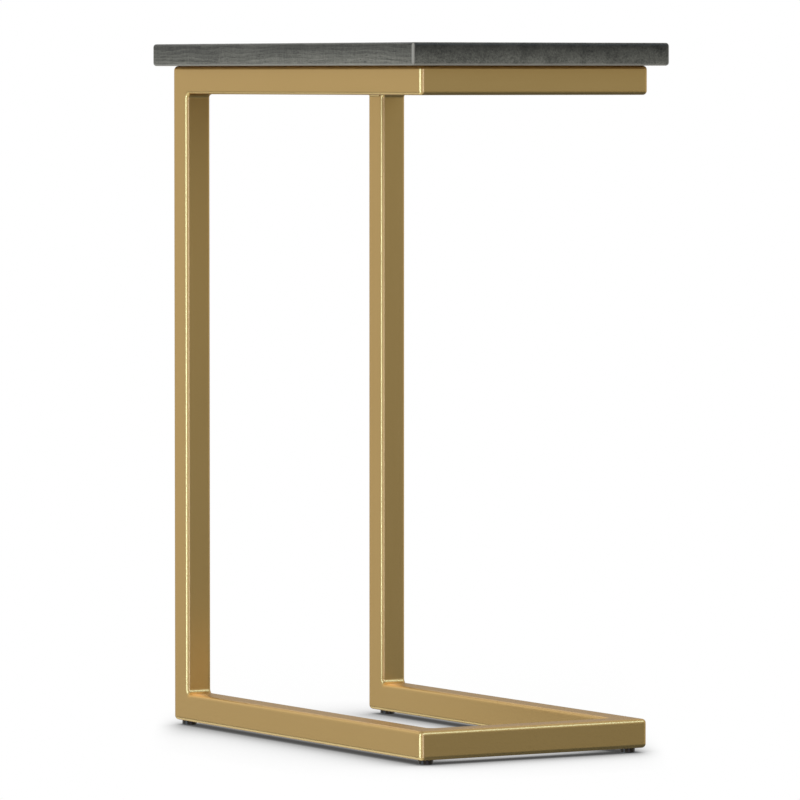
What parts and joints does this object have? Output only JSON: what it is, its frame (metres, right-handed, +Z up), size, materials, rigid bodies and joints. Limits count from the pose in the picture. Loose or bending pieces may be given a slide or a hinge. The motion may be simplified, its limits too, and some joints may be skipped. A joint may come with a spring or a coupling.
{
  "type": "c shaped side table",
  "caption": "C shaped side table with a dark grey solid wood top on an open welded frame of satin gold square tube that slides over a sofa seat, on screw feet.",
  "frame": {"origin": "on the floor, under the middle of the wood top", "axes": "+X along the top from the posts to the open end of the C, +Y across to the right side frame, +Z up"},
  "size_m": [0.458, 0.256, 0.61],
  "materials": {
    "grey_wood": "stained, satin",
    "satin_gold_steel": "satin gold",
    "zinc_steel": "zinc plated",
    "black_plastic": "matte"
  },
  "bodies": {
    "frame": {"top_board_left": "grey_wood", "top_board_middle": "grey_wood", "top_board_right": "grey_wood", "left_top_rail": "satin_gold_steel", "right_top_rail": "satin_gold_steel", "front_top_rail": "satin_gold_steel", "rear_top_rail": "satin_gold_steel", "left_post": "satin_gold_steel", "right_post": "satin_gold_steel", "left_base_rail": "satin_gold_steel", "right_base_rail": "satin_gold_steel", "front_base_rail": "satin_gold_steel", "top_fixing_screws": "zinc_steel", "foot_rivet_nuts": "zinc_steel"},
    "front_left_foot_stud": {"front_left_foot_stud": "zinc_steel"},
    "front_left_foot_pad": {"front_left_foot_pad": "black_plastic"},
    "front_right_foot_stud": {"front_right_foot_stud": "zinc_steel"},
    "front_right_foot_pad": {"front_right_foot_pad": "black_plastic"},
    "rear_left_foot_stud": {"rear_left_foot_stud": "zinc_steel"},
    "rear_left_foot_pad": {"rear_left_foot_pad": "black_plastic"},
    "rear_right_foot_stud": {"rear_right_foot_stud": "zinc_steel"},
    "rear_right_foot_pad": {"rear_right_foot_pad": "black_plastic"}
  },
  "joints": [
    {"name": "front_left_foot_height", "type": "slide", "parent": "frame", "child": "front_left_foot_stud", "axis": [0, 0, -1], "range_m": [0, 0.008]},
    {"name": "front_left_foot_turn", "type": "hinge", "parent": "front_left_foot_stud", "child": "front_left_foot_pad", "pos_m": [0.205, -0.101, 0], "axis": [0, 0, -1], "range_deg": [0, 2880]},
    {"name": "front_right_foot_height", "type": "slide", "parent": "frame", "child": "front_right_foot_stud", "axis": [0, 0, -1], "range_m": [0, 0.008]},
    {"name": "front_right_foot_turn", "type": "hinge", "parent": "front_right_foot_stud", "child": "front_right_foot_pad", "pos_m": [0.205, 0.101, 0], "axis": [0, 0, -1], "range_deg": [0, 2880]},
    {"name": "rear_left_foot_height", "type": "slide", "parent": "frame", "child": "rear_left_foot_stud", "axis": [0, 0, -1], "range_m": [0, 0.008]},
    {"name": "rear_left_foot_turn", "type": "hinge", "parent": "rear_left_foot_stud", "child": "rear_left_foot_pad", "pos_m": [-0.207, -0.103, 0], "axis": [0, 0, -1], "range_deg": [0, 2880]},
    {"name": "rear_right_foot_height", "type": "slide", "parent": "frame", "child": "rear_right_foot_stud", "axis": [0, 0, -1], "range_m": [0, 0.008]},
    {"name": "rear_right_foot_turn", "type": "hinge", "parent": "rear_right_foot_stud", "child": "rear_right_foot_pad", "pos_m": [-0.207, 0.103, 0], "axis": [0, 0, -1], "range_deg": [0, 2880]}
  ],
  "couplings": [
    {"joint": "front_left_foot_turn", "follows": "front_left_foot_height", "rad_per_m": 6283.1},
    {"joint": "front_right_foot_turn", "follows": "front_right_foot_height", "rad_per_m": 6283.1},
    {"joint": "rear_left_foot_turn", "follows": "rear_left_foot_height", "rad_per_m": 6283.1},
    {"joint": "rear_right_foot_turn", "follows": "rear_right_foot_height", "rad_per_m": 6283.1}
  ]
}
